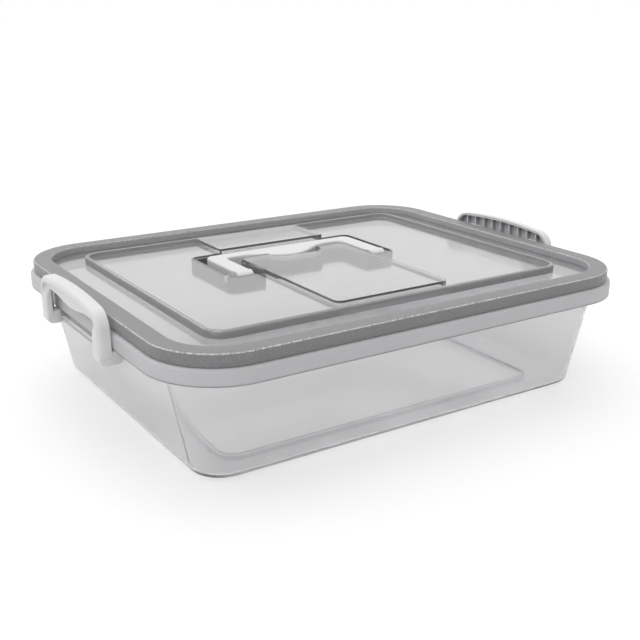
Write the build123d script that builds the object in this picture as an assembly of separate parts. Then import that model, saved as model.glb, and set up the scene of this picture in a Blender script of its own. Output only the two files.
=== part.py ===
from build123d import *
import os
from math import hypot

# Dough proofing container: a shallow clear tub, a clear lid with a grey rim and a folding
# carry handle, and a swing clip on each short side.
# Millimetres. X runs along the long side, Y to the rear, Z up. The origin is the centre of
# the foot's underside, so the container stands on Z = 0.

# Lid outline and heights
lid_length = 356.0
lid_width = 288.0
lid_corner_radius = 46.0
box_height = 92.0
lid_seat_gap = 0.2
cut_overrun = 2.0
touch = 0.01

# Grey rim of the lid: a channel that sits over the tub's lip
rim_band_height = 8.3
rim_width = 13.0
rim_roof = 2.4
rim_outer_wall = 2.4
rim_inner_wall = 2.0
rim_outer_round = 1.4
rim_inner_round = 0.9

# Clear lid: gutter, raised border, panel and pads
lid_skin = 2.0
gutter_depth = 5.0
panel_inset = 36.0
panel_corner_radius = 14.0
border_width = 3.0
panel_drop = 3.0
pad_corner_radius = 6.0
front_pad_setback = 12.5
lid_edge_round = 0.8

# Well in the lid that the carry handle folds into
well_depth = 12.0
well_front = 0.0
well_rear = 64.5
well_corner_radius = 5.0
grip_pocket_front = 34.5
finger_bay_front = 20.0
finger_bay_radius = 12.0

# Seal ring in the rim's channel
seal_clearance = 0.3
seal_thickness = 1.6
seal_round = 0.5

# Carry handle, folded back into the well
handle_width = 129.0
handle_arm_width = 12.7
handle_thickness = 9.0
handle_recess = 1.4
handle_rear_gap = 8.5
handle_grip_depth = 10.5
handle_bulge_depth = 16.0
handle_bulge_share = 0.30
handle_corner_radius = 7.0
handle_inner_radius = 5.0
handle_edge_round = 1.6
handle_eye_radius = 6.0
handle_front_gap = 1.0
handle_side_gap = 6.0
handle_pad_gap = 5.3
handle_pin_radius = 2.4
pin_clearance = 0.25
pin_bite = 1.5

# Tub: tapered walls, flange with a turned-down skirt, lip and foot
wall = 2.2
floor_thickness = 2.2
wall_top_inset = 7.4
base_inset = 22.3
base_corner_radius = 21.0
base_edge_round = 4.0
base_inner_round = 2.6
foot_depth = 4.0
foot_inset = 24.0
foot_corner_radius = 14.0
foot_edge_round = 1.2
flange_overhang = 2.8
flange_height = 10.2
flange_thickness = 2.2
flange_shoulder_round = 2.2
skirt_wall = 2.0
lip_height = 4.0

# Clip brackets on the tub's short sides
bracket_barrel_radius = 3.8
bracket_shelf_rise = 3.0

# Side clips
clip_half_width = 54.0
clip_leg_width = 11.4
clip_thickness = 8.1
clip_flange_gap = 1.1
clip_shell = 2.0
clip_front_shell = 2.2
clip_arch_rise = 8.6
clip_arch_sag = 3.8
clip_arch_corner = 13.0
clip_grip_drop = 14.3
clip_grip_wave = 3.0
clip_crest_share = 0.72
clip_grip_corner = 4.5
clip_grip_recess = 0.7
clip_roll_width = 5.4
clip_gap_wall_depth = 4.2
clip_foot_radius = 4.6
clip_foot_reach = 7.4
clip_foot_gap = 0.6
clip_foot_round = 1.4
clip_edge_round = 2.4
clip_pin_radius = 2.0
clip_pin_length = 6.0
clip_side_gap = 0.8
clip_rib_count = 9
clip_rib_pitch = 10.2
clip_rib_thickness = 1.3
clip_rib_recess = 0.9
clip_nib_gap = 0.4
clip_nib_drop = 2.5

# Levels and places worked out from the sizes above
rim_top = box_height
band_bottom = rim_top - rim_band_height
flange_top = band_bottom - lid_seat_gap
flange_bottom = flange_top - flange_height
lip_top = flange_top + lip_height
gutter_top = rim_top - gutter_depth
panel_top = rim_top - panel_drop
well_floor = panel_top - well_depth
half_length = lid_length / 2
half_width = lid_width / 2
panel_half_width = half_width - panel_inset
handle_top = rim_top - handle_recess
handle_bottom = handle_top - handle_thickness
handle_rear = well_rear - handle_rear_gap
arm_inner = handle_width / 2 - handle_arm_width
well_width = (handle_width / 2 + handle_side_gap) * 2
pad_width = (arm_inner - handle_pad_gap) * 2
finger_bay_width = handle_width * handle_bulge_share + well_corner_radius
handle_axis_y = well_front + handle_front_gap + handle_eye_radius
handle_axis_z = handle_top - handle_eye_radius
flange_half_length = half_length + flange_overhang
clip_inner = flange_half_length + clip_flange_gap
clip_outer = clip_inner + clip_thickness
clip_heel_x = clip_outer - clip_foot_radius
clip_axis_x = clip_heel_x - clip_foot_reach
clip_axis_z = flange_bottom - clip_foot_gap - clip_foot_radius
clip_top = rim_top + clip_arch_rise
clip_leg_inner = clip_half_width - clip_leg_width
bracket_half_width = clip_leg_inner - clip_side_gap


def outline(inset, radius):
    """The lid's rounded rectangle, drawn in by an inset, with its own corner radius."""
    return RectangleRounded(lid_length - inset * 2, lid_width - inset * 2, radius)


def ring(inset):
    """An outline whose corners keep the lid's corner centres."""
    return outline(inset, lid_corner_radius - inset)


def slab(sketch, bottom, top):
    """A flat outline given height between two levels."""
    return extrude(Pos(0, 0, bottom) * sketch, top - bottom)


def edges_at(solid, level):
    """The level edges of a solid at one height."""
    found = []
    for edge in solid.edges():
        box = edge.bounding_box()
        if abs(box.min.Z - level) < touch and abs(box.max.Z - level) < touch:
            found.append(edge)
    return found


def ring_edges(solid, level, inset):
    """The level edges that lie on the lid's outline drawn in by an inset."""
    found = []
    for edge in edges_at(solid, level):
        middle = edge @ (1 / 2)
        over_x = max(abs(middle.X) - half_length + lid_corner_radius, 0)
        over_y = max(abs(middle.Y) - half_width + lid_corner_radius, 0)
        if abs(lid_corner_radius - hypot(over_x, over_y) - inset) < touch:
            found.append(edge)
    return found


def across(sketch, start, length):
    """A sketch drawn in X and Z, given length along +Y from a start."""
    return extrude(Plane.XZ.offset(-start) * sketch, -length)


def along(sketch, start, length):
    """A sketch drawn in Y and Z, given length along +X from a start."""
    return extrude(Plane.YZ.offset(start) * sketch, length)


def pin(radius, x, z, start, length):
    """A round bar along Y."""
    return across(Pos(x, z) * Circle(radius), start, length)


def bracket_profile():
    """Section of the clip bracket: a barrel round the pin axis, webbed up to the skirt."""
    shelf = flange_bottom + bracket_shelf_rise
    barrel = Pos(clip_axis_x, clip_axis_z) * Circle(bracket_barrel_radius)
    web = make_face(Polyline(
        (clip_axis_x - bracket_barrel_radius, clip_axis_z),
        (clip_axis_x + bracket_barrel_radius, clip_axis_z),
        (flange_half_length, flange_bottom),
        (flange_half_length, shelf),
        (flange_half_length - skirt_wall, shelf),
        close=True))
    return barrel + web


def make_tub():
    """Clear tub in one moulding, with the flange, the lip, the foot and both clip brackets."""
    mouth = ring(wall_top_inset)
    outer = loft([Pos(0, 0, foot_depth) * outline(base_inset, base_corner_radius),
                  Pos(0, 0, flange_top) * mouth])
    outer = fillet(edges_at(outer, foot_depth), base_edge_round)
    floor_level = foot_depth + floor_thickness
    foot = slab(outline(base_inset + foot_inset, foot_corner_radius), 0, floor_level)
    foot = fillet(edges_at(foot, 0), foot_edge_round)
    flange = slab(ring(-flange_overhang), flange_bottom, flange_top)
    flange = fillet(edges_at(flange, flange_top), flange_shoulder_round)
    flange -= slab(ring(skirt_wall - flange_overhang), flange_bottom, flange_top - flange_thickness)
    lip = slab(mouth, flange_top, lip_top)

    cavity = loft([
        Pos(0, 0, floor_level) * outline(base_inset + wall, base_corner_radius - wall),
        Pos(0, 0, flange_top) * ring(wall_top_inset + wall)])
    cavity = fillet(edges_at(cavity, floor_level), base_inner_round)
    throat = slab(ring(wall_top_inset + wall), flange_top, lip_top + cut_overrun)
    foot_hollow = slab(outline(base_inset + foot_inset + wall, foot_corner_radius - wall),
                       floor_thickness, floor_level + base_inner_round)

    tub = outer + foot + flange + lip
    bracket = across(bracket_profile(), -bracket_half_width, bracket_half_width * 2)
    socket_depth = clip_pin_length - clip_side_gap + pin_clearance
    socket = pin(clip_pin_radius + pin_clearance, clip_axis_x, clip_axis_z,
                 bracket_half_width - socket_depth, socket_depth)
    bracket -= socket + mirror(socket, Plane.XZ)
    tub += bracket + mirror(bracket, Plane.YZ)
    return tub - cavity - throat - foot_hollow


def make_rim():
    """Grey rim: a channel open downwards, whose inner wall stands on the clear lid's edge."""
    rim = slab(ring(0), band_bottom, rim_top) - slab(ring(rim_width), band_bottom, rim_top)
    rim = fillet(ring_edges(rim, rim_top, 0), rim_outer_round)
    rim = fillet(ring_edges(rim, rim_top, rim_width), rim_inner_round)
    rim -= slab(ring(rim_outer_wall), band_bottom, gutter_top)
    channel = slab(ring(rim_outer_wall), gutter_top, rim_top - rim_roof)
    channel -= slab(ring(rim_width - rim_inner_wall), gutter_top, rim_top - rim_roof)
    return rim - channel


def make_seal():
    """Soft ring that fills the rim's channel and meets the tub's lip."""
    seal_top = rim_top - rim_roof
    seal_bottom = seal_top - seal_thickness
    seal = slab(ring(rim_outer_wall + seal_clearance), seal_bottom, seal_top)
    seal -= slab(ring(rim_width - rim_inner_wall - seal_clearance), seal_bottom, seal_top)
    return fillet(edges_at(seal, seal_bottom), seal_round)


def well_outline(grow):
    """The U-shaped well in plan, grown outwards by a wall thickness."""
    front = well_front - grow
    rear = well_rear + grow
    basin = Pos(0, (front + rear) / 2) * RectangleRounded(
        well_width + grow * 2, rear - front, well_corner_radius + grow)
    tongue_rear = grip_pocket_front - grow
    tongue = Pos(0, (front - well_corner_radius + tongue_rear) / 2) * RectangleRounded(
        pad_width - grow * 2, tongue_rear - front + well_corner_radius, well_corner_radius - grow)
    bay_front = finger_bay_front - grow
    bay_rear = grip_pocket_front + finger_bay_radius
    bay = Pos(0, (bay_front + bay_rear) / 2) * RectangleRounded(
        finger_bay_width + grow * 2, bay_rear - bay_front, finger_bay_radius + grow)
    return basin - tongue + bay


def pad_outline(inset):
    """Both raised pads in plan: the front one reaches the well, the rear one the border."""
    front = -panel_half_width + front_pad_setback + inset
    front_pad = Pos(0, (front + grip_pocket_front - inset) / 2) * RectangleRounded(
        pad_width - inset * 2, grip_pocket_front - inset - front, pad_corner_radius - inset)
    rear_start = well_rear + inset
    rear_end = panel_half_width - border_width + inset
    rear_pad = Pos(0, (rear_start + rear_end) / 2) * Rectangle(pad_width - inset * 2, rear_end - rear_start)
    return front_pad + rear_pad


def make_panel():
    """Clear lid: gutter, raised border, recessed panel, two pads and the handle's well."""
    panel = outline(panel_inset, panel_corner_radius)
    floor = slab(ring(rim_width - rim_inner_wall), gutter_top - lid_skin, gutter_top)
    block = slab(panel, gutter_top - lid_skin, rim_top)
    block = fillet(edges_at(block, rim_top), lid_edge_round)
    recess = slab(outline(panel_inset + border_width, panel_corner_radius - border_width),
                  panel_top, rim_top + cut_overrun)
    pads = slab(pad_outline(0), panel_top - lid_skin, rim_top)
    underside = slab(outline(panel_inset + lid_skin, panel_corner_radius - lid_skin),
                     gutter_top - lid_skin, panel_top - lid_skin)
    pad_hollow = slab(pad_outline(lid_skin), gutter_top - lid_skin, rim_top - lid_skin)
    well_shell = slab(well_outline(lid_skin), well_floor - lid_skin, panel_top)
    well_space = slab(well_outline(0), well_floor, rim_top + cut_overrun)
    socket = along(Pos(handle_axis_y, handle_axis_z) * Circle(handle_pin_radius + pin_clearance),
                   well_width / 2 - cut_overrun, lid_skin + cut_overrun * 2)
    lid = floor + block - recess + pads - underside - pad_hollow + well_shell - well_space
    return lid - socket - mirror(socket, Plane.YZ)


def make_handle():
    """Carry handle: two arms and a grip that swells towards the fingers, pinned at the arm ends."""
    half = handle_width / 2
    grip_front = handle_rear - handle_grip_depth
    bulge = half * handle_bulge_share
    swell = Spline(
        (-bulge * 2, grip_front), (-bulge, grip_front - handle_bulge_depth / 2),
        (0, grip_front - handle_bulge_depth), (bulge, grip_front - handle_bulge_depth / 2),
        (bulge * 2, grip_front),
        tangents=[(1, 0), (1, 0)])
    plan = Pos(0, (handle_rear + handle_axis_y) / 2) * Rectangle(handle_width, handle_rear - handle_axis_y)
    plan -= Pos(0, (grip_front + handle_axis_y) / 2) * Rectangle(arm_inner * 2, grip_front - handle_axis_y)
    plan = fillet(plan.vertices().group_by(Axis.Y)[-1], handle_corner_radius)
    inner_corners = [corner for corner in plan.vertices()
                     if abs(abs(corner.X) - arm_inner) < touch and abs(corner.Y - grip_front) < touch]
    plan = fillet(inner_corners, handle_inner_radius)
    plan += make_face(swell + Line((bulge * 2, grip_front), (-bulge * 2, grip_front)))
    handle = slab(plan, handle_bottom, handle_top)
    handle = fillet(edges_at(handle, handle_top), handle_edge_round)
    eye = along(Pos(handle_axis_y, handle_axis_z) * Circle(handle_eye_radius), arm_inner, handle_arm_width)
    stub = along(Pos(handle_axis_y, handle_axis_z) * Circle(handle_pin_radius), half,
                 well_width / 2 - half + pin_bite)
    eye += stub
    return handle + eye + mirror(eye, Plane.YZ)


def clip_outline(inset):
    """The clip's outer contour seen square on, drawn in by a wall: a low arch with round shoulders."""
    side = clip_half_width - inset
    shoulder = clip_top - clip_arch_sag - inset
    arch = ThreePointArc((-side, shoulder), (0, clip_top - inset), (side, shoulder))
    legs = Polyline((side, shoulder), (side, clip_axis_z), (-side, clip_axis_z), (-side, shoulder))
    body = make_face(arch + legs)
    return fillet(body.vertices().group_by(Axis.Y)[-1], clip_arch_corner - inset)


def finger_gap(grow):
    """The gap between the legs and under the wavy grip, grown outwards by a wall."""
    side = clip_leg_inner + grow
    low = clip_top - clip_grip_drop + grow
    high = low + clip_grip_wave
    crest = side * clip_crest_share
    grip = Spline((-side, high), (-crest, high), (0, low), (crest, high), (side, high),
                  tangents=[(1, 0), (1, 0)])
    bottom = clip_axis_z - cut_overrun
    legs = Polyline((side, high), (side, bottom), (-side, bottom), (-side, high))
    gap = make_face(grip + legs)
    return fillet(gap.vertices().group_by(Axis.Y)[-1], clip_grip_corner + grow)


def clip_shell_body():
    """The clip's arch and legs: a rolled edge round a shallow grip, hollow towards the lid."""
    clip = along(clip_outline(0) - finger_gap(0), clip_inner, clip_thickness)
    front_edges = [edge for edge in clip.edges() if edge.bounding_box().min.X > clip_outer - touch
                   and edge.bounding_box().max.Z > clip_axis_z + touch]
    clip = fillet(front_edges, clip_edge_round)
    grip_face = clip_outline(clip_roll_width) & Pos(0, clip_top) * Rectangle(
        clip_leg_inner * 2, (clip_top - clip_axis_z) * 2)
    clip -= along(grip_face, clip_outer - clip_grip_recess, cut_overrun)
    hollow = clip_outline(clip_shell)
    deep = along(hollow, clip_inner - cut_overrun, clip_thickness - clip_gap_wall_depth + cut_overrun)
    deep += along(hollow - finger_gap(clip_shell), clip_inner, clip_thickness - clip_front_shell)
    heel = Pos(clip_outer, 0, clip_axis_z + clip_foot_radius / 2) * Box(
        clip_thickness * 4, clip_half_width * 2, clip_foot_radius + clip_shell * 2)
    return clip - (deep - heel)


def make_clip():
    """Right-hand clip: the hollow arch, ribs behind the grip, two feet and their pivot stubs."""
    clip = clip_shell_body()
    rib_root = clip_outer - clip_front_shell / 2 - clip_grip_recess
    rib_inner = clip_inner + clip_rib_recess
    nib = half_length + clip_nib_gap
    nib_top = rim_top - clip_nib_drop
    section = make_face(Polyline(
        (rib_root, clip_axis_z), (nib, clip_axis_z), (nib, nib_top), (rib_inner, nib_top),
        (rib_inner, clip_top), (rib_root, clip_top), close=True))
    reach = along(clip_outline(clip_shell / 2) - finger_gap(clip_shell / 2),
                  half_length, clip_outer - half_length)
    for number in range(clip_rib_count):
        middle = (number - (clip_rib_count - 1) / 2) * clip_rib_pitch
        clip += across(section, middle - clip_rib_thickness / 2, clip_rib_thickness) & reach

    sole = Pos((clip_axis_x + clip_heel_x) / 2, clip_axis_z) * SlotCenterToCenter(
        clip_foot_reach, clip_foot_radius * 2)
    foot = across(sole, clip_leg_inner, clip_leg_width)
    foot = fillet(foot.faces().sort_by(Axis.Y)[0].edges() + foot.faces().sort_by(Axis.Y)[-1].edges(),
                  clip_foot_round)
    foot += pin(clip_pin_radius, clip_axis_x, clip_axis_z,
                clip_leg_inner - clip_pin_length, clip_pin_length + clip_foot_round)
    return clip + foot + mirror(foot, Plane.XZ)


def main():
    os.makedirs("parts", exist_ok=True)
    right_clip = make_clip()
    pieces = {
        "tub": make_tub(),
        "lid_rim": make_rim(),
        "lid_seal": make_seal(),
        "lid_panel": make_panel(),
        "carry_handle": make_handle(),
        "right_clip": right_clip,
        "left_clip": mirror(right_clip, Plane.YZ),
    }
    for name, piece in pieces.items():
        export_step(piece, f"parts/{name}.step")
        print(name, len(piece.solids()), "solids", round(piece.volume), "mm3")


main()
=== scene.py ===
from math import atan2, cos, hypot, pi, radians, sin, sqrt

import bmesh
import bpy
from bpy.props import FloatProperty, FloatVectorProperty, IntProperty, PointerProperty
from mathutils import Matrix, Vector


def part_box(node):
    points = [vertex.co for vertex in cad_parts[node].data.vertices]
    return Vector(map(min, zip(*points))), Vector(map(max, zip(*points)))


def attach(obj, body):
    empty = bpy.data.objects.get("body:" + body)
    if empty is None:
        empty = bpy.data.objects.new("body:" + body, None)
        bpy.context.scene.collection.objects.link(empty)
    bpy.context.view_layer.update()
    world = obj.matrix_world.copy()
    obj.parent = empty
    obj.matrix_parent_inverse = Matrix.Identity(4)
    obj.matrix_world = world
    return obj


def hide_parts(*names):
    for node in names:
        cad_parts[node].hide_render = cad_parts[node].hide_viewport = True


bl_info = {
    "name": "Dough Proofing Container",
    "version": (1, 0, 0),
    "blender": (4, 5, 0),
    "location": "View3D > Sidebar > Container",
    "description": "Dresses a clear dough box with its rimmed lid, carry handle and swing clips",
    "category": "Object",
}

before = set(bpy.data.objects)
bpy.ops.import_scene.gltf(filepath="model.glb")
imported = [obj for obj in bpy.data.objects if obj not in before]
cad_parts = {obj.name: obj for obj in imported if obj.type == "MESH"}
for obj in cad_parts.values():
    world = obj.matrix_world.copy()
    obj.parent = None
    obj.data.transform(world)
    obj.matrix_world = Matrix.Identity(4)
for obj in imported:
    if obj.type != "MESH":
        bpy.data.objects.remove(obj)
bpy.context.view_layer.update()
rim_low, rim_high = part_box("lid_rim")
clip_low, clip_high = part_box("right_clip")

# Where the frosted parts of the clear mouldings lie.
BORDER_HALF_LENGTH = 0.1378
BORDER_HALF_WIDTH = 0.1038
WELL_TOP = 0.0868
SKIRT_BOTTOM = 0.0733

WHITE = (1, 1, 1, 1)
PLASTIC_IOR = 1.49


def linear(hex_colour):
    """An sRGB hex colour as the linear RGB that Blender's sockets take."""
    values = [int(hex_colour[start:start + 2], 16) / 255 for start in (0, 2, 4)]
    return tuple(v / 12.92 if v <= 0.04045 else ((v + 0.055) / 1.055) ** 2.4 for v in values)


def opaque(colour):
    """A colour property as the four numbers of a colour socket."""
    return (*colour, 1.0)


def add_node(tree, kind, settings=None, values=None, links=None):
    """Adds a node, sets its own settings and its inputs, and links its inputs to other nodes."""
    node = tree.nodes.new(kind)
    for name, value in (settings or {}).items():
        setattr(node, name, value)
    for socket, value in (values or {}).items():
        node.inputs[socket].default_value = value
    for socket, source in (links or {}).items():
        tree.links.new(source, node.inputs[socket])
    return node


def calculate(tree, operation, *terms):
    """A sum on numbers and on other nodes' outputs."""
    node = add_node(tree, "ShaderNodeMath", {"operation": operation})
    for socket, term in zip(node.inputs, terms):
        if isinstance(term, bpy.types.NodeSocket):
            tree.links.new(term, socket)
        else:
            socket.default_value = term
    return node.outputs[0]


def spread(tree, value, source=(0.0, 1.0), target=(0.0, 1.0)):
    """Maps a value from one range to another, and holds it at the ends."""
    node = add_node(
        tree, "ShaderNodeMapRange",
        values={"From Min": source[0], "From Max": source[1],
                "To Min": target[0], "To Max": target[1]},
        links={"Value": value})
    return node.outputs["Result"]


def mixed(tree, share, first, second, how="MIX"):
    """Mixes two colours, each a colour property or another node's output."""
    node = add_node(tree, "ShaderNodeMix", {"data_type": "RGBA", "blend_type": how})
    share_socket, first_socket, second_socket = (node.inputs[index] for index in (0, 6, 7))
    for socket, source in ((share_socket, share), (first_socket, first), (second_socket, second)):
        if isinstance(source, bpy.types.NodeSocket):
            tree.links.new(source, socket)
        elif socket is share_socket:
            socket.default_value = source
        else:
            socket.default_value = opaque(source)
    return node.outputs[2]


def cloudy(tree, place, size, detail, roughness=0.5):
    """Noise in patches of a real size."""
    node = add_node(
        tree, "ShaderNodeTexNoise",
        values={"Scale": 1 / size, "Detail": detail, "Roughness": roughness},
        links={"Vector": place.outputs["Object"]})
    return node.outputs["Fac"]


def split(tree, vector):
    """The three numbers of a vector, as outputs named X, Y and Z."""
    return add_node(tree, "ShaderNodeSeparateXYZ", links={0: vector}).outputs


def new_material(name):
    """An empty node material and its node tree."""
    material = bpy.data.materials.new(name)
    material.use_nodes = True
    material.node_tree.nodes.clear()
    return material, material.node_tree


def wear(piece, material):
    """Gives every face of a piece one material."""
    if not piece.material_slots:
        piece.data.materials.append(material)
    for slot in piece.material_slots:
        slot.material = material


class LidSizes(bpy.types.PropertyGroup):
    """Sizes of the grey rim and of the seal inside it."""

    length: FloatProperty(
        name="Length", description="Long side of the lid", unit="LENGTH", min=0.1,
        default=rim_high.x - rim_low.x)
    width: FloatProperty(
        name="Width", description="Short side of the lid", unit="LENGTH", min=0.1,
        default=rim_high.y - rim_low.y)
    corner_radius: FloatProperty(
        name="Corner radius", description="Radius of the lid's corners in plan", unit="LENGTH",
        min=0.015, default=0.046)
    rim_width: FloatProperty(
        name="Rim width", description="Width of the rim's top", unit="LENGTH",
        min=0.006, default=0.013)
    roof: FloatProperty(
        name="Roof", description="Thickness of the rim over its channel", unit="LENGTH",
        min=0.001, default=0.0024)
    outer_wall: FloatProperty(
        name="Outer wall", description="Thickness of the rim's outer wall", unit="LENGTH",
        min=0.001, default=0.0024)
    inner_wall: FloatProperty(
        name="Inner wall", description="Thickness of the rim's inner wall", unit="LENGTH",
        min=0.001, default=0.002)
    inner_height: FloatProperty(
        name="Inner height", description="How far the rim stands above the gutter", unit="LENGTH",
        min=0.001, default=0.005)
    outer_round: FloatProperty(
        name="Outer edge", description="Radius of the rim's outer top edge", unit="LENGTH",
        min=0.0002, default=0.0014)
    inner_round: FloatProperty(
        name="Inner edge", description="Radius of the rim's inner top edge", unit="LENGTH",
        min=0.0002, default=0.0009)
    small_round: FloatProperty(
        name="Small edges", description="Radius of all other edges", unit="LENGTH",
        min=0.0001, default=0.0003)
    seal_thickness: FloatProperty(
        name="Seal", description="Thickness of the seal", unit="LENGTH", min=0.0005,
        default=0.0016)
    seal_gap: FloatProperty(
        name="Seal gap", description="Gap between the seal and the channel's walls", unit="LENGTH",
        min=0, default=0.0003)


class ClipSizes(bpy.types.PropertyGroup):
    """Sizes of the swing clips, seen square on: their arch, grip, ribs and feet."""

    half_width: FloatProperty(
        name="Half width", description="From the clip's middle to its side", unit="LENGTH",
        min=0.02, default=clip_high.y)
    top: FloatProperty(
        name="Top", description="Height of the arch's middle", unit="LENGTH", min=0.02,
        default=clip_high.z)
    front: FloatProperty(
        name="Front", description="Distance of the clip's face from the container's middle",
        unit="LENGTH", min=0.02, default=clip_high.x)
    depth: FloatProperty(
        name="Depth", description="Depth of the clip's arch", unit="LENGTH", min=0.004,
        default=0.0081)
    leg_width: FloatProperty(
        name="Leg", description="Width of a leg", unit="LENGTH", min=0.004, default=0.0114)
    sag: FloatProperty(
        name="Sag", description="How far the arch falls to its shoulders", unit="LENGTH",
        min=0.001, default=0.0038)
    shoulder: FloatProperty(
        name="Shoulder", description="Radius of the outer corners", unit="LENGTH",
        min=0.002, default=0.013)
    grip_drop: FloatProperty(
        name="Grip", description="Height of the grip at its lowest", unit="LENGTH",
        min=0.006, default=0.0143)
    grip_wave: FloatProperty(
        name="Wave", description="Rise of the grip's edge beside the middle", unit="LENGTH",
        min=0, default=0.003)
    crest: FloatProperty(
        name="Crest", description="Place of the wave's top, as a share of the gap", min=0.2,
        max=0.95, default=0.72)
    gap_corner: FloatProperty(
        name="Gap corner", description="Radius of the finger gap's corners", unit="LENGTH",
        min=0.001, default=0.0045)
    edge_round: FloatProperty(
        name="Edge", description="Radius of the outer front edge", unit="LENGTH", min=0.0005,
        default=0.003)
    grip_round: FloatProperty(
        name="Grip edge", description="Radius of the grip's front edge", unit="LENGTH",
        min=0.0005, default=0.0016)
    roll: FloatProperty(
        name="Roll", description="Width of the rolled edge over the grip", unit="LENGTH",
        min=0.003, default=0.004)
    crease: FloatProperty(
        name="Crease", description="How far the grip lies behind the rolled edge",
        unit="LENGTH", min=0, default=0.0021)
    crease_width: FloatProperty(
        name="Crease width", description="Width of the step down to the grip", unit="LENGTH",
        min=0.0005, default=0.0019)
    crease_start: FloatProperty(
        name="Crease start", description="Height on the legs where the crease begins",
        unit="LENGTH", min=0, default=0.080)
    crease_rise: FloatProperty(
        name="Crease rise", description="Height over which the crease gets its full depth",
        unit="LENGTH", min=0.001, default=0.014)
    shell: FloatProperty(
        name="Shell", description="Thickness of the walls", unit="LENGTH", min=0.001,
        default=0.002)
    gap_wall: FloatProperty(
        name="Gap wall", description="Depth of the wall round the finger gap", unit="LENGTH",
        min=0.002, default=0.0042)
    ribs: IntProperty(
        name="Ribs", description="Number of ribs behind the grip", min=1, default=9)
    rib_pitch: FloatProperty(
        name="Rib pitch", description="Distance from rib to rib", unit="LENGTH", min=0.002,
        default=0.0102)
    rib_thickness: FloatProperty(
        name="Rib", description="Thickness of a rib", unit="LENGTH", min=0.0005,
        default=0.0013)
    rib_recess: FloatProperty(
        name="Rib recess", description="How far the ribs end inside the clip's back",
        unit="LENGTH", min=0, default=0.0009)
    foot_radius: FloatProperty(
        name="Foot", description="Radius of a foot's round ends", unit="LENGTH", min=0.002,
        default=0.0046)
    foot_reach: FloatProperty(
        name="Foot reach", description="From a foot's heel to its pivot", unit="LENGTH",
        min=0.002, default=0.0074)
    foot_round: FloatProperty(
        name="Foot edge", description="Radius of a foot's edges", unit="LENGTH", min=0.0002,
        default=0.0012)
    foot_inset: FloatProperty(
        name="Foot inset", description="How far a foot's sides lie within its leg's sides",
        unit="LENGTH", min=0, default=0.0002)
    pin_radius: FloatProperty(
        name="Pivot", description="Radius of the pivot stubs", unit="LENGTH", min=0.001,
        default=0.002)
    pin_length: FloatProperty(
        name="Pivot length", description="Length of the pivot stubs", unit="LENGTH",
        min=0.001, default=0.006)


class ContainerColours(bpy.types.PropertyGroup):
    """Colours of the plastics."""

    lid: FloatVectorProperty(
        name="Lid", description="Tint of the clear lid", subtype="COLOR", size=3,
        min=0, max=1, default=linear("E6E6E7"))
    border: FloatVectorProperty(
        name="Border", description="Grey of the frosted walls of the lid's raised border",
        subtype="COLOR", size=3, min=0, max=1, default=linear("B4B4B6"))
    pocket: FloatVectorProperty(
        name="Pocket", description="Grey of the frosted walls of the handle's well",
        subtype="COLOR", size=3, min=0, max=1, default=linear("707072"))
    tub: FloatVectorProperty(
        name="Tub", description="Tint of the translucent tub", subtype="COLOR", size=3,
        min=0, max=1, default=linear("EFEFF0"))
    skirt: FloatVectorProperty(
        name="Skirt", description="Grey of the tub's frosted skirt", subtype="COLOR", size=3,
        min=0, max=1, default=linear("E0E0E2"))
    # Painted shade: the darker grey painted along the skirt's lower edge.
    skirt_edge_shade: FloatVectorProperty(
        name="Skirt edge", description="Lower edge of the frosted skirt", subtype="COLOR", size=3,
        min=0, max=1, default=linear("A6A6A8"))
    rim: FloatVectorProperty(
        name="Rim", description="Colour of the textured rim", subtype="COLOR", size=3,
        min=0, max=1, default=linear("868688"))
    # Painted light: a lighter grey painted on the rim's inner wall, which stands in shade.
    rim_inside_painted_light: FloatVectorProperty(
        name="Rim inside", description="Colour of the rim's thinner inner wall",
        subtype="COLOR", size=3, min=0, max=1, default=linear("B4B4B6"))
    # Painted highlight: the bright colour painted on the rim's round edges.
    painted_edge_highlight: FloatVectorProperty(
        name="Painted edge highlight", description="Colour of the rim's bright round edges",
        subtype="COLOR", size=3, min=0, max=1, default=linear("E4E4E4"))
    white: FloatVectorProperty(
        name="Clips and handle", description="Colour of the white clips and handle",
        subtype="COLOR", size=3, min=0, max=1, default=linear("E8E8E9"))
    # Painted shade: the dark colour painted deep in the clips' and the handle's hollows.
    hollow_shade: FloatVectorProperty(
        name="Clip hollow", description="Colour deep inside the clips, between the ribs",
        subtype="COLOR", size=3, min=0, max=1, default=linear("6E7274"))
    seal: FloatVectorProperty(
        name="Seal", description="Colour of the soft seal", subtype="COLOR", size=3,
        min=0, max=1, default=linear("C9C9CA"))


class StageSettings(bpy.types.PropertyGroup):
    """Floor, lamps and camera."""

    floor_size: FloatProperty(
        name="Floor", description="Side of the square floor", unit="LENGTH", min=1, default=24)
    camera_place: FloatVectorProperty(
        name="Camera", description="Where the camera stands", subtype="TRANSLATION", size=3,
        default=(-0.3640, -0.5603, 0.2669))
    azimuth: FloatProperty(
        name="Azimuth", description="Camera's direction round the container", subtype="ANGLE",
        default=radians(-33.24))
    elevation: FloatProperty(
        name="Elevation", description="Camera's angle above level", subtype="ANGLE",
        default=radians(22.44))
    roll: FloatProperty(
        name="Roll", description="Camera's tilt about its own axis", subtype="ANGLE",
        default=radians(0.16))
    lens: FloatProperty(
        name="Lens", description="Focal length in millimetres", min=1, default=52.19)
    rise: FloatProperty(
        name="Rise", description="Upward shift of the frame as a share of its width",
        default=0.1028)


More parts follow.
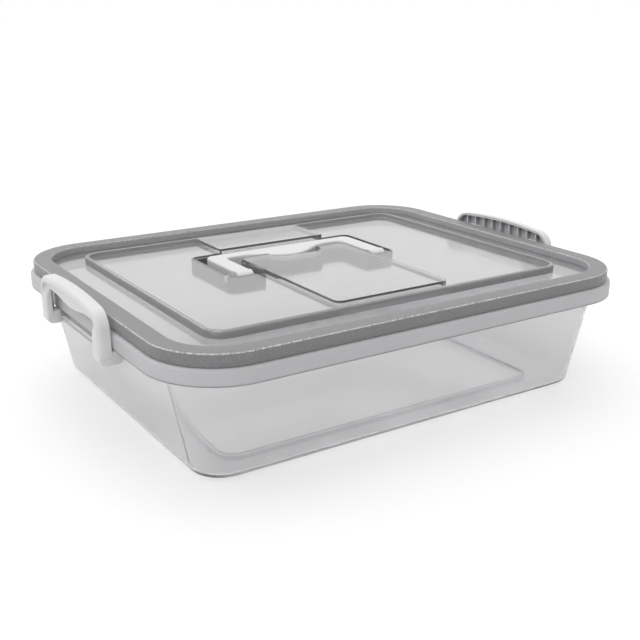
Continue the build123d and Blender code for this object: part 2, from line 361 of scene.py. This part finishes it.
def grained_rim(colour, inside_painted_light, edge_highlight_colour):
    """Matte polypropylene from a spark-eroded mould: a fine grain that catches small glints, a
    painted highlight on its round edges and painted light on its inner wall.
    """
    material, tree = new_material("Spark-textured grey polypropylene")
    place = add_node(tree, "ShaderNodeTexCoord")
    # The real grain is about 0.2 mm; it is drawn at 1.1 mm so that it shows in the render.
    grain = cloudy(tree, place, 0.0011, 3.0, 0.7)
    facet = add_node(
        tree, "ShaderNodeTexVoronoi", values={"Scale": 1 / 0.0009},
        links={"Vector": place.outputs["Object"]})
    shine = spread(tree, facet.outputs["Distance"], (0.1, 0.5), (0.22, 0.42))
    bump = add_node(
        tree, "ShaderNodeBump", values={"Strength": 1.0, "Distance": 0.00035},
        links={"Height": grain})
    shade = spread(tree, grain, (0.25, 0.75), (0.75, 1.30))
    # Painted light: the wall round the inside, thinner than the band outside, stands in shade and
    # is painted a lighter grey.
    facing = add_node(
        tree, "ShaderNodeVectorMath", {"operation": "DOT_PRODUCT"},
        links={0: place.outputs["Normal"], 1: place.outputs["Object"]})
    inside = spread(tree, facing.outputs["Value"], (-0.06, -0.11))
    tint = mixed(tree, inside, colour, inside_painted_light)
    tint = mixed(tree, 1.0, tint, shade, "MULTIPLY")
    # Painted highlight: the round edges, whose faces point about as much up as out, are painted
    # bright grain by grain where a lamp's glint would run along them.
    tilt = calculate(tree, "SUBTRACT", split(tree, place.outputs["Normal"])["Z"], 0.72)
    edge = spread(tree, calculate(tree, "ABSOLUTE", tilt), (0.15, 0.26), (1.0, 0.0))
    painted_edge_highlight = calculate(tree, "MULTIPLY", edge, spread(tree, grain, (0.35, 0.6)))
    tint = mixed(tree, painted_edge_highlight, tint, edge_highlight_colour)
    plastic = add_node(
        tree, "ShaderNodeBsdfPrincipled", values={"IOR": PLASTIC_IOR},
        links={"Base Color": tint, "Roughness": shine, "Normal": bump.outputs["Normal"]})
    add_node(tree, "ShaderNodeOutputMaterial", links={"Surface": plastic.outputs["BSDF"]})
    return material


def lid_frosting(tree, place, colours):
    """Frosted walls of the lid's border and well, from the face's direction and its place."""
    level = calculate(tree, "ABSOLUTE", split(tree, place.outputs["Normal"])["Z"])
    upright = spread(tree, level, (0.45, 0.85), (1.0, 0.0))
    position = split(tree, place.outputs["Object"])
    past_end, past_side = (
        calculate(tree, "GREATER_THAN", calculate(tree, "ABSOLUTE", position[axis]), edge)
        for axis, edge in (("X", BORDER_HALF_LENGTH), ("Y", BORDER_HALF_WIDTH)))
    border = calculate(tree, "MAXIMUM", past_end, past_side)
    low = calculate(tree, "LESS_THAN", position["Z"], WELL_TOP)
    frosting = calculate(tree, "MULTIPLY", calculate(tree, "MAXIMUM", border, low), upright)
    return frosting, mixed(tree, border, colours.pocket, colours.border)


def skirt_frosting(tree, place, colours):
    """The tub's frosted flange and skirt, from the height: the walls and floor below are clear,
    and the skirt's lower edge carries a painted shade line.
    """
    height = split(tree, place.outputs["Object"])["Z"]
    frosting = spread(tree, height, (SKIRT_BOTTOM - 0.0004, SKIRT_BOTTOM))
    # Painted shade: the skirt's lower edge gathers less light than its face, and is painted as a
    # darker line.
    face = spread(tree, height, (SKIRT_BOTTOM + 0.0004, SKIRT_BOTTOM + 0.0011))
    return frosting, mixed(tree, face, colours.skirt_edge_shade, colours.skirt)


def see_through(name, colours, tint, frosted_where, clear, frosted, wave, density):
    """Moulded see-through plastic, clear in one part and frosted in the other.

    Clear and frosted are each a transmission and a roughness. The mould leaves slow flow waves
    in the clear part and a grain in the frosted one, and light passes to the inside.
    """
    material, tree = new_material(name)
    place = add_node(tree, "ShaderNodeTexCoord")
    frosting, grey = frosted_where(tree, place, colours)
    flow = cloudy(tree, place, wave, 1.0, 0.4)
    waves = add_node(
        tree, "ShaderNodeBump", values={"Strength": 0.06, "Distance": 0.0005},
        links={"Height": flow})
    # The frosting's real grain is about 0.1 mm; it is drawn at 0.9 mm so that it shows.
    bump = add_node(
        tree, "ShaderNodeBump", values={"Distance": 0.0003},
        links={"Strength": calculate(tree, "MULTIPLY", frosting, 0.8),
               "Height": cloudy(tree, place, 0.0009, 2.0), "Normal": waves.outputs["Normal"]})
    transmission = spread(tree, frosting, target=(clear[0], frosted[0]))
    roughness = calculate(
        tree, "MULTIPLY", spread(tree, frosting, target=(clear[1], frosted[1])),
        spread(tree, flow, target=(0.7, 1.3)))
    plastic = add_node(
        tree, "ShaderNodeBsdfPrincipled", values={"IOR": PLASTIC_IOR},
        links={"Base Color": mixed(tree, frosting, tint, grey),
               "Transmission Weight": transmission, "Roughness": roughness,
               "Normal": bump.outputs["Normal"]})
    light = add_node(
        tree, "ShaderNodeBsdfTransparent", values={"Color": (0.91, 0.91, 0.91, 1)})
    ray = add_node(tree, "ShaderNodeLightPath")
    either = add_node(
        tree, "ShaderNodeMixShader",
        links={0: ray.outputs["Is Shadow Ray"], 1: plastic.outputs["BSDF"],
               2: light.outputs["BSDF"]})
    body = add_node(tree, "ShaderNodeVolumeAbsorption",
                    values={"Color": (0.5, 0.5, 0.5, 1), "Density": density})
    add_node(tree, "ShaderNodeOutputMaterial",
             links={"Surface": either.outputs["Shader"], "Volume": body.outputs["Volume"]})
    return material


def satin_white(name, colours, reach):
    """White polypropylene, moulded satin: soft highlights, and painted shade deep in hollows and
    creases, from ambient occlusion.
    """
    material, tree = new_material(name)
    place = add_node(tree, "ShaderNodeTexCoord")
    flow = cloudy(tree, place, 0.004, 3.0)
    bump = add_node(
        tree, "ShaderNodeBump", values={"Strength": 0.15, "Distance": 0.0001},
        links={"Height": flow})
    # Painted shade: ambient occlusion mixes the white towards the hollow shade in hollows and
    # creases.
    shade_occlusion = add_node(
        tree, "ShaderNodeAmbientOcclusion", {"only_local": True, "samples": 8},
        {"Distance": reach})
    unshaded_share = spread(tree, shade_occlusion.outputs["AO"], (0.25, 0.98))
    plastic = add_node(
        tree, "ShaderNodeBsdfPrincipled", values={"IOR": PLASTIC_IOR},
        links={"Base Color": mixed(tree, unshaded_share, colours.hollow_shade, colours.white),
               "Roughness": spread(tree, flow, target=(0.26, 0.40)),
               "Normal": bump.outputs["Normal"]})
    add_node(tree, "ShaderNodeOutputMaterial", links={"Surface": plastic.outputs["BSDF"]})
    return material


def soft_silicone(colour):
    """Silicone rubber, moulded: dull, slightly milky, with a fine talc-like grain."""
    material, tree = new_material("Milky silicone rubber")
    place = add_node(tree, "ShaderNodeTexCoord")
    rubber = add_node(
        tree, "ShaderNodeBsdfPrincipled", values={"Base Color": opaque(colour), "IOR": 1.41},
        links={"Roughness": spread(tree, cloudy(tree, place, 0.0015, 2.0), target=(0.5, 0.7))})
    add_node(tree, "ShaderNodeOutputMaterial", links={"Surface": rubber.outputs["BSDF"]})
    return material


def section_line(name, corners):
    """A closed section as a flat curve, from its corners: how far out, how high, how round."""
    steps = 6
    points = []
    for index, (out, height, radius) in enumerate(corners):
        corner = Vector((out, height))
        before = (Vector(corners[index - 1][:2]) - corner).normalized()
        after = (Vector(corners[(index + 1) % len(corners)][:2]) - corner).normalized()
        centre = corner + (before + after) * radius
        for step in range(steps + 1):
            turn = radians(90) * step / steps
            points.append(centre - (after * cos(turn) + before * sin(turn)) * radius)
    line = bpy.data.curves.new(name, "CURVE")
    line.dimensions = "2D"
    spline = line.splines.new("POLY")
    spline.points.add(len(points) - 1)
    for point, place in zip(spline.points, reversed(points)):
        # A section's second axis points down once it is laid round the outline.
        point.co = (place.x, -place.y, 0, 1)
    spline.use_cyclic_u = True
    return bpy.data.objects.new(name, line)


def ring_tree():
    """The node tree that lays a section round the lid's outline."""
    tree = bpy.data.node_groups.new("Section round the lid", "GeometryNodeTree")
    for label, kind in (
            ("Section", "NodeSocketObject"), ("Length", "NodeSocketFloat"),
            ("Width", "NodeSocketFloat"), ("Corner radius", "NodeSocketFloat"),
            ("Step", "NodeSocketFloat"), ("Plastic", "NodeSocketMaterial")):
        tree.interface.new_socket(label, in_out="INPUT", socket_type=kind)
    tree.interface.new_socket("Ring", in_out="OUTPUT", socket_type="NodeSocketGeometry")
    sizes = add_node(tree, "NodeGroupInput")
    outline = add_node(
        tree, "GeometryNodeCurvePrimitiveQuadrilateral",
        links={"Width": sizes.outputs["Length"], "Height": sizes.outputs["Width"]})
    rounded = add_node(
        tree, "GeometryNodeFilletCurve", {"mode": "POLY"}, {"Count": 32},
        {"Curve": outline.outputs["Curve"], "Radius": sizes.outputs["Corner radius"]})
    stepped = add_node(
        tree, "GeometryNodeResampleCurve", {"mode": "LENGTH"},
        links={"Curve": rounded.outputs["Curve"], "Length": sizes.outputs["Step"]})
    upright = add_node(
        tree, "GeometryNodeSetCurveNormal", {"mode": "Z_UP"},
        links={"Curve": stepped.outputs["Curve"]})
    section = add_node(
        tree, "GeometryNodeObjectInfo", links={"Object": sizes.outputs["Section"]})
    swept = add_node(
        tree, "GeometryNodeCurveToMesh",
        links={"Curve": upright.outputs["Curve"], "Profile Curve": section.outputs["Geometry"]})
    real = add_node(
        tree, "GeometryNodeRealizeInstances", links={"Geometry": swept.outputs["Mesh"]})
    dressed = add_node(
        tree, "GeometryNodeSetMaterial",
        links={"Geometry": real.outputs["Geometry"], "Material": sizes.outputs["Plastic"]})
    add_node(tree, "NodeGroupOutput", links={"Ring": dressed.outputs["Geometry"]})
    return tree


def ring_round_lid(name, corners, sizes, material):
    """A plain mesh of a section laid round the lid's outline."""
    section = section_line(name + "_section", corners)
    piece = bpy.data.objects.new(name, bpy.data.meshes.new(name))
    bpy.context.scene.collection.objects.link(section)
    bpy.context.scene.collection.objects.link(piece)
    grow(piece, ring_tree(), {
        "Section": section, "Length": sizes.length, "Width": sizes.width,
        "Corner radius": sizes.corner_radius, "Step": 0.003, "Plastic": material})
    bpy.data.objects.remove(section)
    return piece


def arc_points(centre, radius, first, last, steps):
    """Points on an arc between two angles, both ends included."""
    return [(centre[0] + radius * cos(first + (last - first) * step / steps),
             centre[1] + radius * sin(first + (last - first) * step / steps))
            for step in range(steps + 1)]


def clip_contours(sizes):
    """The clip's outer and inner contour square on, foot to foot, point for point."""
    axis = clip_low.z + sizes.foot_radius
    legs, corner, arch = 8, 12, 30
    half, inner = sizes.half_width, sizes.half_width - sizes.leg_width
    bend = (half ** 2 + sizes.sag ** 2) / (2 * sizes.sag)
    hub = sizes.top - bend
    across = half - sizes.shoulder
    rise = sqrt((bend - sizes.shoulder) ** 2 - across ** 2)
    turn = atan2(rise, -across)
    outer = [(-half, axis + (hub + rise - axis) * step / legs) for step in range(legs)]
    outer += arc_points((-across, hub + rise), sizes.shoulder, pi, turn, corner)
    outer += arc_points((0, hub), bend, turn, pi / 2, arch)[1:]
    low = sizes.top - sizes.grip_drop
    high = low + sizes.grip_wave
    bay = sizes.gap_corner
    inside = [(-inner, axis + (high - bay - axis) * step / legs) for step in range(legs)]
    inside += arc_points((bay - inner, high - bay), bay, pi, pi / 2, corner)
    for step in range(1, arch + 1):
        y = (bay - inner) * (1 - step / arch)
        wave = min(abs(y) / (inner * sizes.crest), 1)
        inside.append((y, low + sizes.grip_wave * (1 - cos(pi * wave)) / 2))
    for contour in (outer, inside):
        contour += [(-y, z) for y, z in reversed(contour[:-1])]
    return outer, inside


def clip_section(sizes, width, crease):
    """The clip's section from its outer to its inner edge: how far in, and how far forward."""
    front, back = sizes.front, sizes.front - sizes.depth
    grip = front - crease
    floor = grip - sizes.shell
    wall_end = front - sizes.gap_wall
    inner_face = width - sizes.shell
    edge_steps, crease_steps, grip_steps = 7, 6, 5
    points = [(0, back)]
    points += arc_points((sizes.edge_round, front - sizes.edge_round), sizes.edge_round,
                         pi, pi / 2, edge_steps)
    for step in range(1, crease_steps + 1):
        down = (1 - cos(pi * step / crease_steps)) / 2
        points.append((sizes.roll + sizes.crease_width * step / crease_steps,
                       front - crease * down))
    points += arc_points((width - sizes.grip_round, grip - sizes.grip_round), sizes.grip_round,
                         pi / 2, 0, grip_steps)
    points += [(width, wall_end), (inner_face, wall_end), (inner_face, floor),
               (sizes.shell, floor), (sizes.shell, back)]
    return points


def loft(mesh, rings):
    """Adds a closed body through rings of places, with a flat face on each end."""
    rings = [[mesh.verts.new(place) for place in ring] for ring in rings]
    for before, ring in zip(rings, rings[1:]):
        for index, corner in enumerate(ring):
            mesh.faces.new((before[index - 1], before[index], corner, ring[index - 1]))
    mesh.faces.new(rings[0])
    mesh.faces.new(rings[-1])


def add_foot(mesh, sizes, side):
    """A foot: a bar with round ends that reaches in from the leg, and its pivot stub."""
    radius, soft = sizes.foot_radius, sizes.foot_round
    axis = clip_low.z + radius
    heel = sizes.front - radius
    pivot = heel - sizes.foot_reach
    inner = sizes.half_width - sizes.leg_width + sizes.foot_inset
    outer = sizes.half_width - sizes.foot_inset
    bar = [(inner, radius - soft), (inner + soft * 0.3, radius - soft * 0.3),
           (inner + soft, radius), (outer - soft, radius),
           (outer - soft * 0.3, radius - soft * 0.3), (outer, radius - soft)]
    stub = [(inner - sizes.pin_length, sizes.pin_radius), (inner + soft, sizes.pin_radius)]
    for levels, far in ((bar, heel), (stub, pivot)):
        rings = []
        for y, size in levels:
            outline = arc_points((far, axis), size, -pi / 2, pi / 2, 14)
            outline += arc_points((pivot, axis), size, pi / 2, pi * 3 / 2, 14)
            rings.append([(x, y * side, z) for x, z in outline])
        loft(mesh, rings)


def clip_shell(name, sizes, side):
    """The clip without its ribs: an arch and legs with a rolled edge, and two feet."""
    mesh = bmesh.new()
    rings = []
    for out, within in zip(*clip_contours(sizes)):
        width = hypot(within[0] - out[0], within[1] - out[1])
        height = min(max((out[1] - sizes.crease_start) / sizes.crease_rise, 0), 1)
        crease = sizes.crease * (3 - 2 * height) * height ** 2
        rings.append([
            (x, out[0] + (within[0] - out[0]) * depth / width,
             out[1] + (within[1] - out[1]) * depth / width)
            for depth, x in clip_section(sizes, width, crease)])
    loft(mesh, rings)
    for foot_side in (-1, 1):
        add_foot(mesh, sizes, foot_side)
    bmesh.ops.remove_doubles(mesh, verts=mesh.verts, dist=0.00001)
    bmesh.ops.scale(mesh, vec=(side, 1, 1), verts=mesh.verts)
    bmesh.ops.recalc_face_normals(mesh, faces=mesh.faces)
    data = bpy.data.meshes.new(name)
    mesh.to_mesh(data)
    mesh.free()
    piece = bpy.data.objects.new(name, data)
    bpy.context.scene.collection.objects.link(piece)
    return piece


def rib_tree():
    """The node tree that stands ribs in a row behind the clip's grip and joins them to it."""
    tree = bpy.data.node_groups.new("Row of ribs", "GeometryNodeTree")
    tree.interface.new_socket("Shell", in_out="INPUT", socket_type="NodeSocketGeometry")
    for label, kind in (
            ("Count", "NodeSocketInt"), ("Pitch", "NodeSocketFloat"),
            ("Size", "NodeSocketVector"), ("Middle", "NodeSocketVector"),
            ("Half width", "NodeSocketFloat"), ("Sag", "NodeSocketFloat"),
            ("Wave", "NodeSocketFloat"), ("Crest", "NodeSocketFloat"),
            ("Plastic", "NodeSocketMaterial")):
        tree.interface.new_socket(label, in_out="INPUT", socket_type=kind)
    tree.interface.new_socket("Clip", in_out="OUTPUT", socket_type="NodeSocketGeometry")
    sizes = add_node(tree, "NodeGroupInput")
    middle = split(tree, sizes.outputs["Middle"])
    gaps = calculate(tree, "SUBTRACT", sizes.outputs["Count"], 1.0)
    run = calculate(tree, "MULTIPLY", gaps, sizes.outputs["Pitch"])
    start = add_node(tree, "ShaderNodeCombineXYZ",
                     links={"X": middle["X"], "Y": calculate(tree, "MULTIPLY", run, -0.5),
                            "Z": middle["Z"]})
    step = add_node(tree, "ShaderNodeCombineXYZ", links={"Y": sizes.outputs["Pitch"]})
    row = add_node(tree, "GeometryNodeMeshLine",
                   links={"Count": sizes.outputs["Count"], "Start Location": start.outputs[0],
                          "Offset": step.outputs[0]})
    rib = add_node(tree, "GeometryNodeMeshCube", links={"Size": sizes.outputs["Size"]})
    ribs = add_node(tree, "GeometryNodeInstanceOnPoints",
                    links={"Points": row.outputs["Mesh"], "Instance": rib.outputs["Mesh"]})
    real = add_node(tree, "GeometryNodeRealizeInstances", links={"Geometry": ribs.outputs[0]})
    # Each rib's top falls with the arch, and its foot rises with the wavy grip.
    place = split(tree, add_node(tree, "GeometryNodeInputPosition").outputs[0])
    shifts = {}
    for end, width, height, way in (("True", "Half width", "Sag", -1.0),
                                    ("False", "Crest", "Wave", 1.0)):
        share = calculate(tree, "DIVIDE", place["Y"], sizes.outputs[width])
        square = calculate(tree, "MINIMUM", calculate(tree, "MULTIPLY", share, share), 1.0)
        shift = calculate(tree, "MULTIPLY", square, sizes.outputs[height])
        shifts[end] = calculate(tree, "MULTIPLY", shift, way)
    upper = calculate(tree, "GREATER_THAN", place["Z"], middle["Z"])
    shift = add_node(tree, "GeometryNodeSwitch", {"input_type": "FLOAT"},
                     links={"Switch": upper, **shifts})
    offset = add_node(tree, "ShaderNodeCombineXYZ", links={"Z": shift.outputs[0]})
    fitted = add_node(tree, "GeometryNodeSetPosition",
                      links={"Geometry": real.outputs[0], "Offset": offset.outputs[0]})
    both = add_node(tree, "GeometryNodeJoinGeometry")
    for part in (sizes.outputs["Shell"], fitted.outputs[0]):
        tree.links.new(part, both.inputs[0])
    whole = add_node(tree, "GeometryNodeRealizeInstances", links={"Geometry": both.outputs[0]})
    dressed = add_node(tree, "GeometryNodeSetMaterial",
                       links={"Geometry": whole.outputs[0], "Material": sizes.outputs["Plastic"]})
    add_node(tree, "NodeGroupOutput", links={"Clip": dressed.outputs[0]})
    return tree


def grow(piece, tree, inputs):
    """Runs a node tree on a piece, and leaves its result as the piece's plain mesh."""
    modifier = piece.modifiers.new(tree.name, "NODES")
    modifier.node_group = tree
    for socket in tree.interface.items_tree:
        if socket.in_out == "INPUT" and socket.name in inputs:
            modifier[socket.identifier] = inputs[socket.name]
    graph = bpy.context.evaluated_depsgraph_get()
    mesh = bpy.data.meshes.new_from_object(piece.evaluated_get(graph), depsgraph=graph)
    piece.modifiers.clear()
    piece.data = mesh
    mesh.shade_smooth()
    mesh.set_sharp_from_angle(angle=radians(35))


class CONTAINER_OT_tub(bpy.types.Operator):
    """Gives the tub its translucent plastic, frosted on the skirt"""

    bl_idname = "container.tub"
    bl_label = "Tub"

    def execute(self, context):
        colours = context.scene.container_colours
        plastic = see_through(
            "Translucent moulded polypropylene", colours, colours.tub, skirt_frosting,
            clear=(0.90, 0.08), frosted=(0.35, 0.45), wave=0.03, density=40)
        wear(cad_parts["tub"], plastic)
        return {"FINISHED"}


class CONTAINER_OT_lid(bpy.types.Operator):
    """Gives the clear lid its plastic, frosted on its upright walls"""

    bl_idname = "container.lid"
    bl_label = "Clear lid"

    def execute(self, context):
        colours = context.scene.container_colours
        plastic = see_through(
            "Clear moulded polypropylene", colours, colours.lid, lid_frosting,
            clear=(0.93, 0.06), frosted=(0.35, 0.35), wave=0.05, density=60)
        wear(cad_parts["lid_panel"], plastic)
        return {"FINISHED"}


class CONTAINER_OT_rim(bpy.types.Operator):
    """Makes the grey rim: a channel, open downwards, laid round the lid"""

    bl_idname = "container.rim"
    bl_label = "Grey rim"

    def execute(self, context):
        sizes = context.scene.container_lid
        top, bottom = rim_high.z, rim_low.z
        ceiling = top - sizes.roof
        foot = top - sizes.inner_height
        wall = -sizes.outer_wall
        inside = sizes.inner_wall - sizes.rim_width
        small = sizes.small_round
        corners = (
            (0, bottom, small), (0, top, sizes.outer_round),
            (-sizes.rim_width, top, sizes.inner_round), (-sizes.rim_width, foot, small),
            (inside, foot, small), (inside, ceiling, small), (wall, ceiling, small),
            (wall, bottom, small))
        colours = context.scene.container_colours
        plastic = grained_rim(colours.rim, colours.rim_inside_painted_light, colours.painted_edge_highlight)
        rim = ring_round_lid("grey_rim", corners, sizes, plastic)
        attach(rim, "lid")
        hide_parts("lid_rim")
        return {"FINISHED"}


class CONTAINER_OT_seal(bpy.types.Operator):
    """Makes the soft seal in the rim's channel"""

    bl_idname = "container.seal"
    bl_label = "Seal"

    def execute(self, context):
        sizes = context.scene.container_lid
        top = rim_high.z - sizes.roof
        bottom = top - sizes.seal_thickness
        outside = -sizes.outer_wall - sizes.seal_gap
        inside = sizes.inner_wall - sizes.rim_width + sizes.seal_gap
        small = sizes.small_round
        corners = ((outside, bottom, small), (outside, top, small), (inside, top, small),
                   (inside, bottom, small))
        rubber = soft_silicone(context.scene.container_colours.seal)
        seal = ring_round_lid("soft_seal", corners, sizes, rubber)
        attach(seal, "lid")
        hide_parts("lid_seal")
        return {"FINISHED"}


class CONTAINER_OT_handle(bpy.types.Operator):
    """Makes the carry handle"""

    bl_idname = "container.handle"
    bl_label = "Carry handle"

    def execute(self, context):
        colours = context.scene.container_colours
        plastic = satin_white("Satin white polypropylene, handle", colours, reach=0.002)
        wear(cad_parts["carry_handle"], plastic)
        return {"FINISHED"}


class CONTAINER_OT_clips(bpy.types.Operator):
    """Makes both swing clips"""

    bl_idname = "container.clips"
    bl_label = "Swing clips"

    def execute(self, context):
        colours = context.scene.container_colours
        plastic = satin_white("Satin white polypropylene, clips", colours, reach=0.006)
        sizes = context.scene.container_clips
        rib_back = sizes.front - sizes.depth + sizes.rib_recess
        rib_front = sizes.front - sizes.crease - sizes.shell / 2
        rib_top = sizes.top - sizes.shell / 2
        rib_foot = sizes.top - sizes.grip_drop + sizes.shell / 2
        for side, name in ((-1, "left_clip"), (1, "right_clip")):
            clip = clip_shell(name.replace("_", "_swing_"), sizes, side)
            grow(clip, rib_tree(), {
                "Count": sizes.ribs, "Pitch": sizes.rib_pitch,
                "Size": (rib_front - rib_back, sizes.rib_thickness, rib_top - rib_foot),
                "Middle": (side * (rib_front + rib_back) / 2, 0, (rib_top + rib_foot) / 2),
                "Half width": sizes.half_width, "Sag": sizes.sag, "Wave": sizes.grip_wave,
                "Crest": (sizes.half_width - sizes.leg_width) * sizes.crest,
                "Plastic": plastic})
            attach(clip, name)
            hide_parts(name)
        return {"FINISHED"}


def seen_by_eye(tree):
    """One for rays that show a surface to the eye, straight or through and off the plastic."""
    ray = add_node(tree, "ShaderNodeLightPath").outputs
    straight = calculate(tree, "MAXIMUM", ray["Is Camera Ray"], ray["Is Transmission Ray"])
    return calculate(tree, "MAXIMUM", straight, ray["Is Glossy Ray"])


class CONTAINER_OT_stage(bpy.types.Operator):
    """Makes the floor, the lamps, the world and the camera"""

    bl_idname = "container.stage"
    bl_label = "Stage"

    def execute(self, context):
        settings = context.scene.container_stage
        self.make_floor(settings)
        self.make_world(context.scene)
        self.make_lamps()
        self.make_camera(context.scene, settings)
        context.scene.view_settings.view_transform = "Standard"
        return {"FINISHED"}

    def make_floor(self, settings):
        """A wide pale floor that looks white where no shadow falls."""
        half = settings.floor_size / 2
        mesh = bpy.data.meshes.new("floor")
        mesh.from_pydata([(-half, -half, 0), (half, -half, 0), (half, half, 0), (-half, half, 0)],
                         [], [(0, 1, 2, 3)])
        floor = bpy.data.objects.new("floor", mesh)
        bpy.context.scene.collection.objects.link(floor)
        material, tree = new_material("White paper sweep")
        paper = add_node(tree, "ShaderNodeBsdfDiffuse", values={"Color": (0.8, 0.8, 0.8, 1)})
        bright = add_node(tree, "ShaderNodeBsdfDiffuse", values={"Color": WHITE})
        glow = add_node(tree, "ShaderNodeEmission", values={"Strength": 0.12})
        shown = add_node(tree, "ShaderNodeAddShader",
                         links={0: bright.outputs["BSDF"], 1: glow.outputs["Emission"]})
        surface = add_node(tree, "ShaderNodeMixShader",
                           links={0: seen_by_eye(tree), 1: paper.outputs["BSDF"],
                                  2: shown.outputs["Shader"]})
        add_node(tree, "ShaderNodeOutputMaterial", links={"Surface": surface.outputs["Shader"]})
        wear(floor, material)

    def make_world(self, scene):
        """A white room to the eye, and a softer even light on the object."""
        world = bpy.data.worlds.new("Pale room")
        world.use_nodes = True
        tree = world.node_tree
        tree.nodes.clear()
        light, shown = (
            add_node(tree, "ShaderNodeBackground", values={"Color": WHITE, "Strength": strength})
            for strength in (0.42, 1.0))
        either = add_node(tree, "ShaderNodeMixShader",
                          links={0: seen_by_eye(tree), 1: light.outputs["Background"],
                                 2: shown.outputs["Background"]})
        add_node(tree, "ShaderNodeOutputWorld", links={"Surface": either.outputs["Shader"]})
        scene.world = world

    def make_lamps(self):
        """A wide soft light from above and a weaker one from the front left."""
        for name, place, width, strength in (
                ("sky_panel", (-0.15, 0.25, 1.0), radians(90), 1.55),
                ("front_panel", (-0.9, -1.0, 0.8), radians(50), 0.35)):
            data = bpy.data.lights.new(name, "SUN")
            data.angle = width
            data.energy = strength
            lamp = bpy.data.objects.new(name, data)
            bpy.context.scene.collection.objects.link(lamp)
            lamp.location = place
            lamp.rotation_euler = (-Vector(place)).to_track_quat("-Z", "Y").to_euler()

    def make_camera(self, scene, settings):
        """The camera, from its place, its direction and its roll."""
        turn, lift = settings.azimuth, settings.elevation
        back = Vector((sin(turn) * cos(lift), -cos(turn) * cos(lift), sin(lift)))
        right = Vector((cos(turn), sin(turn), 0))
        up = back.cross(right)
        level = Matrix((right, up, back)).transposed().to_4x4()
        data = bpy.data.cameras.new("camera")
        data.lens = settings.lens
        data.sensor_width = 36
        data.shift_y = settings.rise
        data.clip_start = 0.01
        camera = bpy.data.objects.new("camera", data)
        scene.collection.objects.link(camera)
        camera.matrix_world = (Matrix.Translation(settings.camera_place) @ level
                               @ Matrix.Rotation(settings.roll, 4, "Z"))
        scene.camera = camera


class CONTAINER_PT_pieces(bpy.types.Panel):
    """Lists the sizes, the colours and the pieces"""

    bl_label = "Dough proofing container"
    bl_idname = "CONTAINER_PT_pieces"
    bl_space_type = "VIEW_3D"
    bl_region_type = "UI"
    bl_category = "Container"

    def draw(self, context):
        scene = context.scene
        for group in (scene.container_lid, scene.container_clips, scene.container_colours,
                      scene.container_stage):
            for name in group.__annotations__:
                self.layout.prop(group, name)
        for operator in operators:
            self.layout.operator(operator.bl_idname)


operators = (CONTAINER_OT_tub, CONTAINER_OT_lid, CONTAINER_OT_rim, CONTAINER_OT_seal,
             CONTAINER_OT_handle, CONTAINER_OT_clips, CONTAINER_OT_stage)
groups = (LidSizes, ClipSizes, ContainerColours, StageSettings)


def register():
    for kind in groups + operators + (CONTAINER_PT_pieces,):
        bpy.utils.register_class(kind)
    bpy.types.Scene.container_lid = PointerProperty(type=LidSizes)
    bpy.types.Scene.container_clips = PointerProperty(type=ClipSizes)
    bpy.types.Scene.container_colours = PointerProperty(type=ContainerColours)
    bpy.types.Scene.container_stage = PointerProperty(type=StageSettings)


def unregister():
    del bpy.types.Scene.container_stage
    del bpy.types.Scene.container_colours
    del bpy.types.Scene.container_clips
    del bpy.types.Scene.container_lid
    for kind in reversed(groups + operators + (CONTAINER_PT_pieces,)):
        bpy.utils.unregister_class(kind)


def main():
    register()
    bpy.ops.container.tub()
    bpy.ops.container.lid()
    bpy.ops.container.rim()
    bpy.ops.container.seal()
    bpy.ops.container.handle()
    bpy.ops.container.clips()
    bpy.ops.container.stage()


if __name__ == "__main__":
    main()
